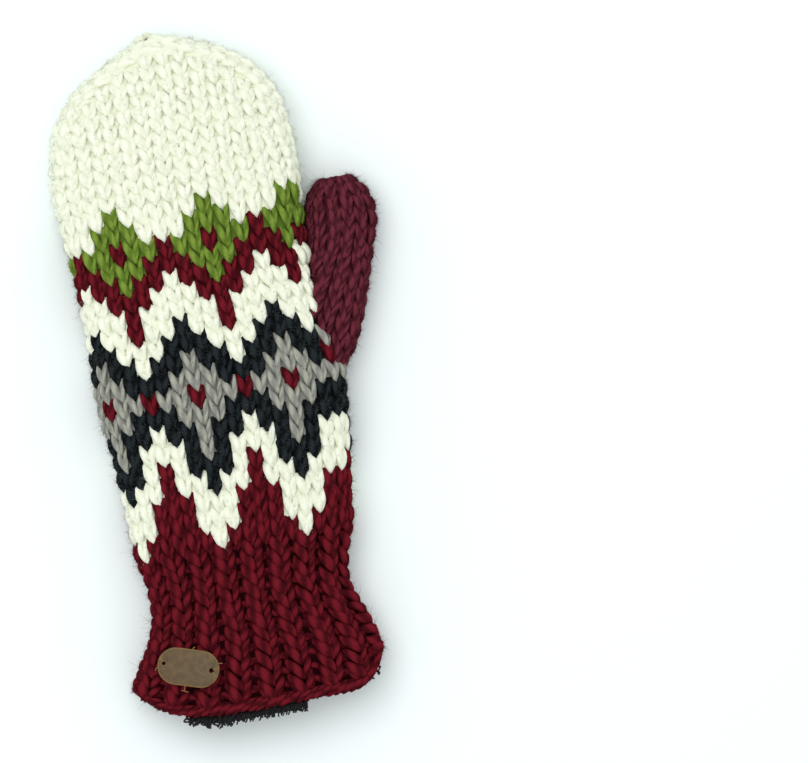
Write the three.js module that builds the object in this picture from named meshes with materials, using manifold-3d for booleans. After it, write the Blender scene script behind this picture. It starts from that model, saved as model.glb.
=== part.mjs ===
// A chunky knitted mitten for the left hand, lying on its palm side.
// It has a ribbed cuff with a thick cast-on edge, a fleece lining and a small leather label.
// Millimetres: +X to the thumb side, +Y to the finger tip, +Z up.
// The origin is under the middle of the whole mitten, on the surface that it lies on.
import * as THREE from "three";
import { mergeVertices } from "three/addons/utils/BufferGeometryUtils.js";
import Module from "manifold-3d";

// Driving dimensions
const KNIT_WALL = 5.0;
const THUMB_WALL = 5.2;
const FLEECE_WALL = 2.2;
const GAP = 0.3;
const CUT_THROUGH = 4.0;
const SLIVER = 0.06;
const LEAST = 2.0;
const ROOT_CLEARANCE = 0.6;
const FOUR_SIDES = 4;

// Where the tube changes from one piece to the next, along Y
const WRIST_Y = -95.6;
const EDGE_Y = -156.4;
const MOUTH_Y = -162.2;
const TIP_Y = 106.3;
const LINING_PEEP = 1.4;

// The shape of a section: how square its corners are, and how much of it lies flat
const CORNER_POWER = 2.5;
const SIDE_SHARE = 0.44;
const PRESSED = 1.8;
const PRESSED_FULL_HEIGHT = 20;

// The cuff's mouth is longer in the middle than at its two sides, and squarer on the right
const BOW = 16;
const BOW_START_Y = -112;
const BOW_GROWTH = 1.5;
const BOW_POWER_LEFT = 4;
const BOW_POWER_RIGHT = 10;
const PAST_MOUTH = 1.1;

// Knitting gauge: stitches around the hand, and ribs of one knit and one purl stitch
const STITCHES = 36;
const RIB_DEPTH = 2.0;
const RIB_PHASE = 0.45;
const EDGE_SCALLOP = 0.7;
const EDGE_BULGE = 0.9;
const MOUTH_BULGE = 1.3;
const SLAB_MARGIN = 3;
const SLAB_REACH = 15;

// Mesh steps
const OUTLINE_STEPS = 240;
const HAND_SIDES = 36;
const CUFF_SIDES = 72;
const THUMB_SIDES = 20;
const HALF_STEP = 0.5;
const TANGENT_SHARE = 0.004;

// Sections of the hand and cuff, from the mouth to the tip.
// left and right are the edges seen from above, top is the height, lift is the clearance below.
const BODY = [
  { y: MOUTH_Y, left: -56.4, right: 44.6, top: 29.0, lift: 0 },
  { y: EDGE_Y, left: -55.6, right: 44.8, top: 28.8, lift: 0 },
  { y: -146.0, left: -52.6, right: 43.8, top: 28.0, lift: 0 },
  { y: -134.0, left: -47.6, right: 40.8, top: 27.0, lift: 0 },
  { y: -120.0, left: -43.8, right: 36.8, top: 26.0, lift: 0 },
  { y: -108.0, left: -43.4, right: 37.4, top: 26.5, lift: 0 },
  { y: WRIST_Y, left: -45.4, right: 41.2, top: 28.2, lift: 0 },
  { y: -75.0, left: -46.0, right: 44.4, top: 30.5, lift: 0 },
  { y: -55.0, left: -47.2, right: 46.8, top: 32.0, lift: 0 },
  { y: -33.2, left: -49.3, right: 48.8, top: 33.0, lift: 0 },
  { y: -10.0, left: -48.9, right: 45.8, top: 33.5, lift: 0 },
  { y: 15.0, left: -49.4, right: 43.6, top: 33.5, lift: 0 },
  { y: 46.8, left: -52.0, right: 45.3, top: 32.5, lift: 0 },
  { y: 64.0, left: -50.8, right: 44.8, top: 31.0, lift: 0 },
  { y: 76.1, left: -46.8, right: 42.6, top: 29.0, lift: 0.4 },
  { y: 87.8, left: -37.6, right: 35.4, top: 26.0, lift: 1.5 },
  { y: 96.0, left: -25.4, right: 24.6, top: 22.5, lift: 3.2 },
  { y: 103.0, left: -12.2, right: 8.8, top: 18.5, lift: 5.6 },
  { y: TIP_Y, left: -4.4, right: 0.2, top: 14.5, lift: 9.5 },
];

// Sections of the thumb, from its root inside the hand to its tip, with the same columns
const THUMB = [
  { y: -39.0, left: 14.0, right: 45.0, top: 23.0, lift: 0 },
  { y: -32.0, left: 16.0, right: 52.0, top: 24.0, lift: 0 },
  { y: -19.5, left: 21.0, right: 58.3, top: 24.5, lift: 0 },
  { y: -5.0, left: 31.0, right: 63.4, top: 24.5, lift: 0 },
  { y: 9.8, left: 40.2, right: 68.4, top: 23.5, lift: 0 },
  { y: 22.0, left: 43.0, right: 71.6, top: 22.5, lift: 0 },
  { y: 30.0, left: 44.6, right: 70.4, top: 21.0, lift: 0.4 },
  { y: 35.5, left: 48.0, right: 67.0, top: 19.0, lift: 1.4 },
  { y: 38.8, left: 52.6, right: 62.4, top: 16.0, lift: 3.6 },
  { y: 40.0, left: 56.4, right: 58.8, top: 12.0, lift: 7.0 },
];

// Leather label
const LABEL = {
  length: 24.4,
  width: 14.6,
  thick: 1.6,
  x: -32.4,
  y: -139.4,
  turn: THREE.MathUtils.degToRad(-15),
  clearance: 0.6,
  hole: 2.2,
  holeSides: 10,
  holeSpacing: 19.0,
  arcSteps: 10,
  slices: 8,
};

// Colour, roughness and metalness of each kind of surface
const FINISHES = {
  cream_wool: { color: 0xf0f3e1, roughness: 0.95, metalness: 0 },
  red_wool: { color: 0x6e161e, roughness: 0.95, metalness: 0 },
  purple_wool: { color: 0x641928, roughness: 0.95, metalness: 0 },
  black_fleece: { color: 0x222226, roughness: 1.0, metalness: 0 },
  tan_leather: { color: 0x826946, roughness: 0.6, metalness: 0 },
};

const wasm = await Module();
wasm.setup();

// Slope of one column of a section table at a row
function slopeAt(rows, column, i) {
  const a = rows[Math.max(i - 1, 0)];
  const b = rows[Math.min(i + 1, rows.length - 1)];
  return (b[column] - a[column]) / (b.y - a.y);
}

// Value of one column at y, on a smooth curve through the rows
function columnAt(rows, column, y) {
  let i = 0;
  while (i < rows.length - 2 && y > rows[i + 1].y) i += 1;
  const step = rows[i + 1].y - rows[i].y;
  const t = THREE.MathUtils.clamp((y - rows[i].y) / step, 0, 1);
  const rise = t * t * (3 - 2 * t);
  const startPull = t * (1 - t) * (1 - t) * step * slopeAt(rows, column, i);
  const endPull = t * t * (t - 1) * step * slopeAt(rows, column, i + 1);
  return THREE.MathUtils.lerp(rows[i][column], rows[i + 1][column], rise) + startPull + endPull;
}

function rowAt(rows, y) {
  const row = { y };
  for (const column of ["left", "right", "top", "lift"]) row[column] = columnAt(rows, column, y);
  return row;
}

// The rows from one height to another, with a row at each of the two
function rowsBetween(rows, from, to) {
  const inner = rows.filter((row) => row.y > from + GAP && row.y < to - GAP);
  return [rowAt(rows, from), ...inner, rowAt(rows, to)];
}

// The same table a depth further in: a closing end draws back by the mean of what its four sides
// lose, and what would vanish is dropped
function insetRows(rows, depth) {
  const moved = rows.map((row, i) => {
    const slope = (column) => slopeAt(rows, column, i);
    const step = (column) => depth / Math.hypot(1, slope(column));
    const closing = slope("left") * step("left") - slope("right") * step("right")
      - slope("top") * step("top") + slope("lift") * step("lift");
    return {
      y: row.y > WRIST_Y + GAP ? row.y - closing / FOUR_SIDES : row.y,
      left: row.left + step("left"),
      right: row.right - step("right"),
      top: row.top - step("top"),
      lift: row.lift + step("lift"),
    };
  });
  return moved.filter((row) => row.right - row.left > LEAST && row.top - row.lift > LEAST);
}

// How far a section near the mouth lies back at x: not in its middle, and most at its sides
function bowAt(x, y) {
  const growth = THREE.MathUtils.clamp((BOW_START_Y - y) / (BOW_START_Y - MOUTH_Y), 0, PAST_MOUTH);
  if (growth === 0) return 0;
  const outside = rowAt(BODY, y);
  const across = (2 * x - outside.left - outside.right) / (outside.right - outside.left);
  const power = across > 0 ? BOW_POWER_RIGHT : BOW_POWER_LEFT;
  return BOW * Math.pow(growth, BOW_GROWTH) * Math.pow(Math.min(Math.abs(across), 1), power);
}

// The closed outline of a row: a rounded box pressed flat underneath, with its lengths run up
function outlineOf(row) {
  const halfWidth = (row.right - row.left) / 2;
  const middle = (row.right + row.left) / 2;
  const side = THREE.MathUtils.lerp(row.lift, row.top, SIDE_SHARE);
  const pressed = PRESSED * Math.min(1, (row.top - row.lift) / PRESSED_FULL_HEIGHT);
  const round = (v) => Math.sign(v) * Math.pow(Math.abs(v), 2 / CORNER_POWER);
  const points = [];
  for (let i = 0; i <= OUTLINE_STEPS; i += 1) {
    const angle = (i / OUTLINE_STEPS) * 2 * Math.PI;
    const across = round(Math.sin(angle));
    const up = round(Math.cos(angle));
    const reach = up > 0 ? row.top - side : side - row.lift + pressed;
    const z = Math.max(side + reach * up, row.lift);
    const x = middle + halfWidth * across;
    points.push(new THREE.Vector3(x, row.y + bowAt(x, row.y), z));
  }
  const lengths = [0];
  for (let i = 1; i < points.length; i += 1) {
    const flat = Math.hypot(points[i].x - points[i - 1].x, points[i].z - points[i - 1].z);
    lengths.push(lengths[i - 1] + flat);
  }
  return { points, lengths };
}

// The point at a share of the way round an outline, from the top middle towards +X
function pointOn(outline, share) {
  const { points, lengths } = outline;
  const total = lengths[lengths.length - 1];
  const target = (share - Math.floor(share)) * total;
  let i = 1;
  while (lengths[i] < target) i += 1;
  const t = (target - lengths[i - 1]) / (lengths[i] - lengths[i - 1]);
  return new THREE.Vector3().lerpVectors(points[i - 1], points[i], t);
}

// One ring of points on a row's outline, pushed in towards the tube's middle by depth(share),
// and turned by a part of a step
function ringOf(row, sides, depth = () => 0, turn = 0) {
  const outline = outlineOf(row);
  const ring = [];
  for (let i = 0; i < sides; i += 1) {
    const share = (i + turn) / sides;
    const before = pointOn(outline, share - TANGENT_SHARE);
    const round = pointOn(outline, share + TANGENT_SHARE).sub(before);
    const inward = new THREE.Vector3(round.z, 0, -round.x).normalize();
    ring.push(pointOn(outline, share).addScaledVector(inward, depth(share)));
  }
  return ring;
}

// Closed solid through rings, with a flat fan at each end
function loft(rings) {
  const sides = rings[0].length;
  const points = rings.flat();
  const triangles = [];
  const at = (ring, side) => ring * sides + (side % sides);
  for (let r = 0; r < rings.length - 1; r += 1) {
    for (let s = 0; s < sides; s += 1) {
      triangles.push(at(r, s), at(r, s + 1), at(r + 1, s));
      triangles.push(at(r, s + 1), at(r + 1, s + 1), at(r + 1, s));
    }
  }
  const last = rings.length - 1;
  for (const ring of [0, last]) {
    const centre = points.length;
    const middle = new THREE.Vector3();
    rings[ring].forEach((point) => middle.addScaledVector(point, 1 / sides));
    points.push(middle);
    for (let s = 0; s < sides; s += 1) {
      const pair = ring === last ? [at(ring, s), at(ring, s + 1)] : [at(ring, s + 1), at(ring, s)];
      triangles.push(pair[0], pair[1], centre);
    }
  }
  const positions = points.flatMap((point) => [point.x, point.y, point.z]);
  return toSolid(positions, triangles);
}

function toSolid(positions, triangles) {
  const mesh = new wasm.Mesh({
    numProp: 3,
    vertProperties: new Float32Array(positions),
    triVerts: new Uint32Array(triangles),
  });
  return new wasm.Manifold(mesh);
}

// The same for a three.js geometry
function geometryToSolid(geometry) {
  const bare = geometry.clone();
  bare.deleteAttribute("normal");
  bare.deleteAttribute("uv");
  const merged = mergeVertices(bare, 1e-4);
  return toSolid(merged.attributes.position.array, merged.index.array);
}

function tube(rows, sides, depth) {
  return loft(rows.map((row) => ringOf(row, sides, depth)));
}

// A tube whose first ring is drawn out past its start, towards -Y.
// A layer's inside is turned half a step against its outside, so that their edges never meet.
function drawnTube(rows, sides, drawOut, turn) {
  const rings = rows.map((row) => ringOf(row, sides, () => 0, turn));
  const mouth = rings[0].map((point) => point.clone().setY(point.y - drawOut));
  return loft([mouth, ...rings]);
}

// A thin cut can leave a crumb or a sliver behind: slivers are merged and the largest body is kept
function cleaned(solid) {
  const bodies = solid.simplify(SLIVER).decompose();
  return bodies.reduce((best, body) => (body.volume() > best.volume() ? body : best));
}

// Depth of the rib wave at a share of the way round: nothing on a knit column, 1 on a purl one
function ribWave(share) {
  const turns = (share * STITCHES - RIB_PHASE) / 2;
  return 0.5 - 0.5 * Math.cos(2 * Math.PI * turns);
}

const handRows = rowsBetween(BODY, WRIST_Y + GAP / 2, TIP_Y);
const cuffRows = rowsBetween(BODY, MOUTH_Y, WRIST_Y - GAP / 2);
const bodyCavity = drawnTube(insetRows(BODY, KNIT_WALL), HAND_SIDES, CUT_THROUGH, HALF_STEP);
const thumbInside = insetRows(THUMB, THUMB_WALL);
const thumbCavity = drawnTube(thumbInside, THUMB_SIDES, ROOT_CLEARANCE, HALF_STEP);

function makeHand() {
  return tube(handRows, HAND_SIDES).subtract(bodyCavity).subtract(thumbCavity);
}

function makeThumb() {
  const handAndGap = tube(insetRows(BODY, -GAP), HAND_SIDES);
  return tube(THUMB, THUMB_SIDES).subtract(thumbCavity).subtract(handAndGap);
}

// Everything inside and just around the cuff between two heights, with the mouth's own bow
function slab(from, to) {
  const around = () => -SLAB_MARGIN;
  return loft([from, to].map((y) => ringOf(rowAt(BODY, y), CUFF_SIDES, around)));
}

function makeCuff() {
  const ribbed = tube(cuffRows, CUFF_SIDES, (share) => RIB_DEPTH * ribWave(share));
  return ribbed.subtract(slab(MOUTH_Y - SLAB_REACH, EDGE_Y + GAP / 2)).subtract(bodyCavity);
}

// The cast-on edge bulges between its two ends and follows the ribs softly
function makeCuffEdge() {
  const depths = [
    { y: MOUTH_Y, depth: MOUTH_BULGE },
    { y: (MOUTH_Y + EDGE_Y) / 2, depth: 0 },
    { y: EDGE_Y, depth: EDGE_BULGE },
    { y: EDGE_Y + SLAB_MARGIN, depth: 2 * EDGE_BULGE },
  ];
  const rings = depths.map(({ y, depth }) =>
    ringOf(rowAt(BODY, y), CUFF_SIDES, (share) => depth + EDGE_SCALLOP * ribWave(share)),
  );
  return loft(rings).intersect(slab(MOUTH_Y - SLAB_REACH, EDGE_Y - GAP / 2)).subtract(bodyCavity);
}

// The bag for the fingers and the one for the thumb, a depth inside the knitted walls
function liningLayer(depth, drawOut, turn) {
  const bag = drawnTube(insetRows(BODY, KNIT_WALL + depth), HAND_SIDES, drawOut, turn);
  const thumbRows = insetRows(THUMB, THUMB_WALL + depth);
  return bag.add(drawnTube(thumbRows, THUMB_SIDES, -ROOT_CLEARANCE, turn));
}

function makeLining() {
  const outside = liningLayer(GAP, LINING_PEEP, HALF_STEP);
  const inside = liningLayer(GAP + FLEECE_WALL, LINING_PEEP + CUT_THROUGH, 0);
  return outside.subtract(inside);
}

// Height of the rib crests above the table at x, y, found on the outline there
function crestHeight(x, y) {
  const outline = outlineOf(rowAt(BODY, y));
  let best = outline.points[0];
  for (const point of outline.points) {
    const upper = point.z > SIDE_SHARE * outline.points[0].z;
    if (upper && Math.abs(point.x - x) < Math.abs(best.x - x)) best = point;
  }
  return best.z;
}

function labelShape() {
  const straight = (LABEL.length - LABEL.width) / 2;
  const radius = LABEL.width / 2;
  const shape = new THREE.Shape();
  shape.absarc(straight, 0, radius, -Math.PI / 2, Math.PI / 2, false);
  shape.absarc(-straight, 0, radius, Math.PI / 2, Math.PI * 1.5, false);
  return shape;
}

// The label is cut into slices across, bent over the ribs, and pierced
function makeLabel() {
  const options = { depth: LABEL.thick, bevelEnabled: false, curveSegments: LABEL.arcSteps };
  let plate = geometryToSolid(new THREE.ExtrudeGeometry(labelShape(), options));
  for (const end of [-1, 1]) {
    const radius = LABEL.hole / 2;
    const drill = new THREE.CylinderGeometry(radius, radius, 4 * LABEL.thick, LABEL.holeSides);
    drill.rotateX(Math.PI / 2);
    drill.translate((end * LABEL.holeSpacing) / 2, 0, 0);
    plate = plate.subtract(geometryToSolid(drill));
  }
  return plate.refineToLength(LABEL.length / LABEL.slices).warp((point) => {
    const x = LABEL.x + point[0] * Math.cos(LABEL.turn) - point[1] * Math.sin(LABEL.turn);
    const y = LABEL.y + point[0] * Math.sin(LABEL.turn) + point[1] * Math.cos(LABEL.turn);
    point[0] = x;
    point[1] = y;
    point[2] += crestHeight(x, y) + LABEL.clearance;
  });
}

function toMesh(name, solid, finish) {
  const data = cleaned(solid).getMesh();
  const geometry = new THREE.BufferGeometry();
  geometry.setAttribute("position", new THREE.BufferAttribute(data.vertProperties, 3));
  geometry.setIndex(new THREE.BufferAttribute(data.triVerts, 1));
  geometry.computeVertexNormals();
  const mesh = new THREE.Mesh(geometry, new THREE.MeshStandardMaterial(FINISHES[finish]));
  mesh.name = name;
  return mesh;
}

const mitten = new THREE.Group();
mitten.name = "mitten";
mitten.add(
  toMesh("hand", makeHand(), "cream_wool"),
  toMesh("thumb", makeThumb(), "purple_wool"),
  toMesh("cuff", makeCuff(), "red_wool"),
  toMesh("cuff_edge", makeCuffEdge(), "red_wool"),
  toMesh("lining", makeLining(), "black_fleece"),
  toMesh("label", makeLabel(), "tan_leather"),
);

// Bring the middle of the underside to the origin
const box = new THREE.Box3().setFromObject(mitten);
const centre = box.getCenter(new THREE.Vector3());
for (const mesh of mitten.children) mesh.position.set(-centre.x, -centre.y, -box.min.z);

export default mitten;
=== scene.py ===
"""A chunky knitted mitten, yarn by yarn, lying on a white table and seen from straight above.

Shapes are worked out in millimetres in the drawing's frame (+X to the thumb side, +Y to the tip,
+Z up) and moved to the part's frame, in metres, when a mesh is made.
"""

import math

import bmesh
import bpy
import numpy as np
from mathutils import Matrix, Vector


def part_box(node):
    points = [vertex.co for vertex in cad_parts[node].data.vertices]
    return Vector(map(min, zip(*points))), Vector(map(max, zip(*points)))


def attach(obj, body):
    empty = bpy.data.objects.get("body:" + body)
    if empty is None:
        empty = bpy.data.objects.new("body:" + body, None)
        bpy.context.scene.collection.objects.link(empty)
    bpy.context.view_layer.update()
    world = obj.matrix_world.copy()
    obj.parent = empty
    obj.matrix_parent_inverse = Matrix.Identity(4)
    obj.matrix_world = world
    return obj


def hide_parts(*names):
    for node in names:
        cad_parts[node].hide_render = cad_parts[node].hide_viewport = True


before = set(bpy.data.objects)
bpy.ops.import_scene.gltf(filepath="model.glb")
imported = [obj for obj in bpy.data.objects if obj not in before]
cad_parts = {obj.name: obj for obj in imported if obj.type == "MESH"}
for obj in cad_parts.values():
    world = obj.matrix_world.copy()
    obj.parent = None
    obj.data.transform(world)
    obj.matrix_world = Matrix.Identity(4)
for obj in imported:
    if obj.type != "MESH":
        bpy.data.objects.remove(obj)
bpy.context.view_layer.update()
random = np.random.default_rng(11)

# The outside of the hand and cuff, and of the thumb: y, left, right, top, lift
BODY = [
    (-162.2, -56.4, 44.6, 29.0, 0),
    (-156.4, -55.6, 44.8, 28.8, 0),
    (-146.0, -52.6, 43.8, 28.0, 0),
    (-134.0, -47.6, 40.8, 27.0, 0),
    (-120.0, -43.8, 36.8, 26.0, 0),
    (-108.0, -43.4, 37.4, 26.5, 0),
    (-95.6, -45.4, 41.2, 28.2, 0),
    (-75.0, -46.0, 44.4, 30.5, 0),
    (-55.0, -47.2, 46.8, 32.0, 0),
    (-33.2, -49.3, 48.8, 33.0, 0),
    (-10.0, -48.9, 45.8, 33.5, 0),
    (15.0, -49.4, 43.6, 33.5, 0),
    (46.8, -52.0, 45.3, 32.5, 0),
    (64.0, -50.8, 44.8, 31.0, 0),
    (76.1, -46.8, 42.6, 29.0, 0.4),
    (87.8, -37.6, 35.4, 26.0, 1.5),
    (96.0, -25.4, 24.6, 22.5, 3.2),
    (103.0, -12.2, 8.8, 18.5, 5.6),
    (106.3, -4.4, 0.2, 14.5, 9.5),
]
THUMB = [
    (-39.0, 14.0, 45.0, 23.0, 0),
    (-32.0, 16.0, 52.0, 24.0, 0),
    (-19.5, 21.0, 58.3, 24.5, 0),
    (-5.0, 31.0, 63.4, 24.5, 0),
    (9.8, 40.2, 68.4, 23.5, 0),
    (22.0, 43.0, 71.6, 22.5, 0),
    (30.0, 44.6, 70.4, 21.0, 0.4),
    (35.5, 48.0, 67.0, 19.0, 1.4),
    (38.8, 52.6, 62.4, 16.0, 3.6),
    (40.0, 56.4, 58.8, 12.0, 7.0),
]
WIDEST_LEFT = -52.0
WRIST_Y = -95.6
EDGE_Y = -156.4
MOUTH_Y = -162.2
TIP_Y = 106.3
CORNER_POWER = 2.5
SIDE_SHARE = 0.44
PRESSED = 1.8
PRESSED_FULL_HEIGHT = 20
BOW = 16
BOW_START_Y = -112
BOW_POWER_LEFT = 4
BOW_POWER_RIGHT = 10
BOW_GROWTH = 1.5
BOW_LIMIT = 1.1

# How finely the surfaces are worked out: points of a section, shares of a ring, and steps in mm
SECTION_POINTS = 240
RING_SHARES = 360
SKIN_STEP = 0.5
FACE_STEP = 0.25
FINE_STEP = 0.1
SKIN_PAST_MOUTH = 6
# A tube that is narrower than this counts its narrowing as length, so that its tip keeps whole stitches
CLOSING_WIDTH = 40

# The knitting: stitches around the hand, with column 0 at COLUMN_PHASE stitches of the way round
STITCHES = 36
COLUMN_PHASE = 1.45
PLAIN_ROW = 5.35
TABLE_GAP = 0.02

# The finger end: two columns on each side and face follow its outline to the peak
BAND_START_Y = 58.0
BAND_COLUMNS = (6, 7, 8, 9, 24, 25, 26, 27)
BAND_ROW = 6.5
BAND_RADIUS = 2.05
BAND_PITCH = 0.97
BAND_ROOM = 0.95
BAND_REACH = 20
BAND_PLAN, BAND_PLAN_STEP = 24, 0.2
BAND_END = 14
SHOULDER_Y = 104.0
PEAK = (-6.2, 108.1)
PAST_PEAK = 1.5
PAST_PEAK_DROP = 0.4
OUTLINE_SMOOTHINGS = 10
END_MARGIN = 8

# The cuff's ribs and the purl columns between them
RIB_ROW = 5.5
RIB_START = 0.1
RIB_RADIUS = 2.0
RIB_SPREAD = 1.68
RIB_BEHIND = 0.9
FIRST_RIB_DROP = 1.2
FIRST_RIB_HEIGHT = 0.8
FIRST_RIB_RADIUS = 1.9
FIRST_RIB_SPREAD = 1.6
PURL_DEPTH = 4.4
PURL_END_DEPTH = 0.8
PURL_HALF_WIDTH = 0.42
PURL_RADIUS = 1.5
PURL_ARCH = 0.15
PURL_JITTER = 0.2

# The cast-on edge
EDGE_STRANDS = 72
EDGE_REACH = 0.95
EDGE_RISE = 2.0
EDGE_SHIFT = 1.3
EDGE_RADIUS = 1.3
EDGE_TAPER = 0.4
EDGE_DEPTH = 0.2
EDGE_END_DEPTH, EDGE_END_POWER = 1.7, 2.5
EDGE_JITTER_AROUND, EDGE_JITTER_ALONG, EDGE_JITTER_THICK = 0.06, 0.2, 0.07

# The thumb
THUMB_STITCHES = 14
THUMB_ROW = 5.8
THUMB_START = 1
THUMB_SLANT = 4.5
THUMB_SLANT_FADE = 30
THUMB_RADIUS = 1.45
THUMB_SPREAD = 0.95
THUMB_STRETCH = 1.18
THUMB_FULL_GIRTH = 70
THUMB_THINNING = 0.35
# Stitches are left out this far inside the other tube, as shares of its section
HIDDEN_IN_THUMB = 0.86
HIDDEN_IN_HAND = 0.94
CREST_DROP = 1.5

# The pattern from the wrist up, column 0 first: white, red, black, grey (y) and green
CHART = [
    "rrrwrr",
    "rrwwwr",
    "rrwwwr",
    "rwwkww",
    "rwkkkw",
    "wwkykw",
    "wkkykk",
    "kkyyyk",
    "ryyryy",
    "kkyyyk",
    "wkkykk",
    "wwkkkw",
    "rwwkww",
    "rwwwww",
    "rrwwwr",
    "grrwrr",
    "ggrrrg",
    "rggrgg",
    "ggwwwg",
    "gwwwww",
]
# Next to the thumb the round ends and two columns show another part of it, also from the wrist up
SIDE_COLUMNS = {6: "rrrwwwkkyrykwwwwrggw", 7: "rrrrwwkkyykkwwwwrgww"}
# There the rows also lie higher: by how much, and where it grows and fades, in mm and in columns
SIDE_LIFT = 5.2
SIDE_SHIFT = 0.35
LIFT_HEIGHTS = (-2, 27, 62)
LIFT_COLUMNS = (0.5, 4, 8, 12)
# Height of the foot of some rows of the chart: row, y
CHART_HEIGHTS = [
    (0, -95.6), (3, -74.0), (7, -46.0), (11, -18.4), (14, 1.0), (17, 19.3), (19, 34.1), (20, 40.6)
]

# The leather label: its size and place, its holes (x, y, size), and its rounded rim (in, up)
LABEL_LENGTH, LABEL_WIDTH = 24.4, 14.6
LABEL_X, LABEL_Y, LABEL_TURN = -32.1, -139.6, math.radians(-17)
LABEL_CLEARANCE = 0.6
LABEL_HOLES = ((-9.8, 0.5, 1.4), (9.1, -0.1, 1.8))
LABEL_RIM = ((0.50, 0.0), (0.14, 0.12), (0.0, 0.42), (0.0, 1.12), (0.16, 1.46), (0.55, 1.6))
LABEL_STEPS, HOLE_STEPS = 56, 18
HOLE_RIM = 0.6
LABEL_CUTS = (-10.5, 11, 1.5)
FLAT_NORMAL = 0.97
SHARP_ANGLE = 40
# Its sewing thread: start and end of each length on the label's plan, and the heights of both
LABEL_THREADS = (
    ((0.9, 6.9), (1.3, 8.3), 1.85, 0.25),
    ((11.4, 3.0), (12.9, 3.3), 1.85, 0.25),
    ((-12.0, -1.2), (-12.9, -2.8), 1.85, 0.25),
    ((-0.4, -6.7), (-0.5, -9.3), 1.85, 0.25),
    ((-1.5, -9.1), (1.1, -9.5), 1.85, 0.25),
    ((-10.1, 0.9), (-11.5, 2.8), 1.72, 1.5),
    ((9.6, 0.3), (11.6, 1.3), 1.72, 1.5),
    ((9.4, -0.7), (11.1, -2.2), 1.72, 1.5),
)
THREAD_RADIUS = 0.13
THREAD_SIDES = 6
THREAD_WAVE = 0.25

# The fleece: how far inside the knitting it lies, and where it peeps out at the mouth
LINING_DEPTH = 5.3
LINING_WALL = 2.4
PEEP = 1.4
PEEP_FROM, PEEP_TO, PEEP_LOWEST = -37, 12, 14
PEEP_HIDDEN = 4.0
RIM_SMOOTHINGS = 3
PILE_SIZE, PILE_DEPTH = 0.004, 0.0008

# Its curls: how far they reach, furthest between FAR_FROM and FAR_TO, and how they coil
CURLS = 640
CURL_STEPS = 7
CURL_SIDES = 5
CURL_RADIUS = 0.48
CURL_TAPER = 0.35
CURL_INWARD = (-0.4, 2.0)
CURL_REACH, FAR_REACH = (0.2, 2.4), (1.0, 3.4)
FAR_FROM, FAR_TO = -34, -18
CURL_ROOT = 1.2
CURL_COIL = (0.4, 0.9)
CURL_DRIFT = 0.7
CURL_TURN, CURL_WAVE_TURN, CURL_WAVE, CURL_LEAN = 7, 9, 0.3, 0.3

# The shells behind the yarn: depth under the skin, thickness, columns, step along and height of the dome
HAND_SHELL = {"depth": 2.1, "thickness": 2.6, "columns": 108, "step": 2.2, "cap": 5.2}
CUFF_SHELL = {"depth": 4.3, "thickness": 0.8, "columns": 108, "step": 2.5}
THUMB_SHELL = {"depth": 2.3, "thickness": 1.9, "columns": 72, "step": 3.0, "cap": 2.0}
EDGE_SHELL = {"depth": 2.6, "thickness": 2.2, "columns": 144, "step": 2.2}
BAG_SHELL = {"depth": LINING_DEPTH, "thickness": LINING_WALL, "columns": 108, "step": 3.2, "cap": 1.5}
STALL_SHELL = {**BAG_SHELL, "columns": 48}
# Where they start and end along their skins, in mm
HAND_SHELL_END = TIP_Y - 4
THUMB_SHELL_REACH = (-30, 42)
EDGE_SHELL_REACH = (MOUTH_Y + 2.2, EDGE_Y + 1)
BAG_END = 96
STALL_REACH = (-30, 38)
# The cores that open one shell where the other joins it: from, to and depth under the skin
THUMB_IN_HAND = (-38, 36, 4.3)
HAND_IN_THUMB = (WRIST_Y, 60, 4.0)
BAG_HOLLOW = LINING_DEPTH + LINING_WALL + 0.1
HAND_IN_STALL = (-60, 50, BAG_HOLLOW)
THUMB_IN_BAG = (-36, 34, BAG_HOLLOW)
CORE_COLUMNS = 72
CORE_STEP = 3.0
# The dome at a shell's end: how wide and how high, as shares
DOME = ((0.8, 0.5), (0.5, 0.85), (0.02, 1.0))

# The two legs of a stitch: across in columns, up in rows, out in mm, thickness.
# The left one is bold and lies aslant, and the right one is thin and nearly upright.
LEFT_LEG = [
    (0.13, -0.34, -0.90, 0.24),
    (0.10, -0.16, -0.10, 0.58),
    (0.04, 0.06, 0.35, 0.88),
    (-0.06, 0.32, 0.60, 1.06),
    (-0.17, 0.58, 0.45, 1.10),
    (-0.29, 0.84, -0.15, 0.98),
    (-0.38, 1.10, -1.20, 0.76),
    (-0.45, 1.32, -2.60, 0.50),
]
RIGHT_LEG = [
    (0.14, -0.36, -1.10, 0.20),
    (0.16, -0.15, -0.30, 0.42),
    (0.20, 0.07, 0.25, 0.64),
    (0.27, 0.34, 0.50, 0.77),
    (0.33, 0.61, 0.40, 0.80),
    (0.38, 0.88, -0.20, 0.75),
    (0.42, 1.14, -1.20, 0.62),
    (0.45, 1.36, -2.60, 0.42),
]
LEG_OVERLAP = 0.36
LEG_SIDES = 7
LEG_STEPS = 9
LEG_RADIUS = 1.86
LEG_FLATNESS = 0.8
LEG_DEEPEST = 5.1

# The unevenness of hand knitting: from leg to leg, and in soft waves (around, along, phase)
JITTER_ACROSS, JITTER_ALONG, JITTER_THICK, JITTER_DEPTH, JITTER_TURN = 0.03, 0.04, 0.07, 0.12, 0.05
WAVES = [(2, 0.031, 0.3), (3, 0.052, 1.9), (5, 0.085, 4.1), (7, -0.12, 2.6), (4, 0.21, 5.2)]
ROW_WOBBLE = 0.2
COLUMN_WOBBLE = 0.035

# The chart's letters: the wool's name, and how thick its yarn is
COLOURS = {"w": "cream", "r": "red", "k": "black", "y": "grey", "g": "green"}
THICKNESS = {"w": 1.84, "r": 1.62, "k": 1.7, "y": 1.42, "g": 1.48}

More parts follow.
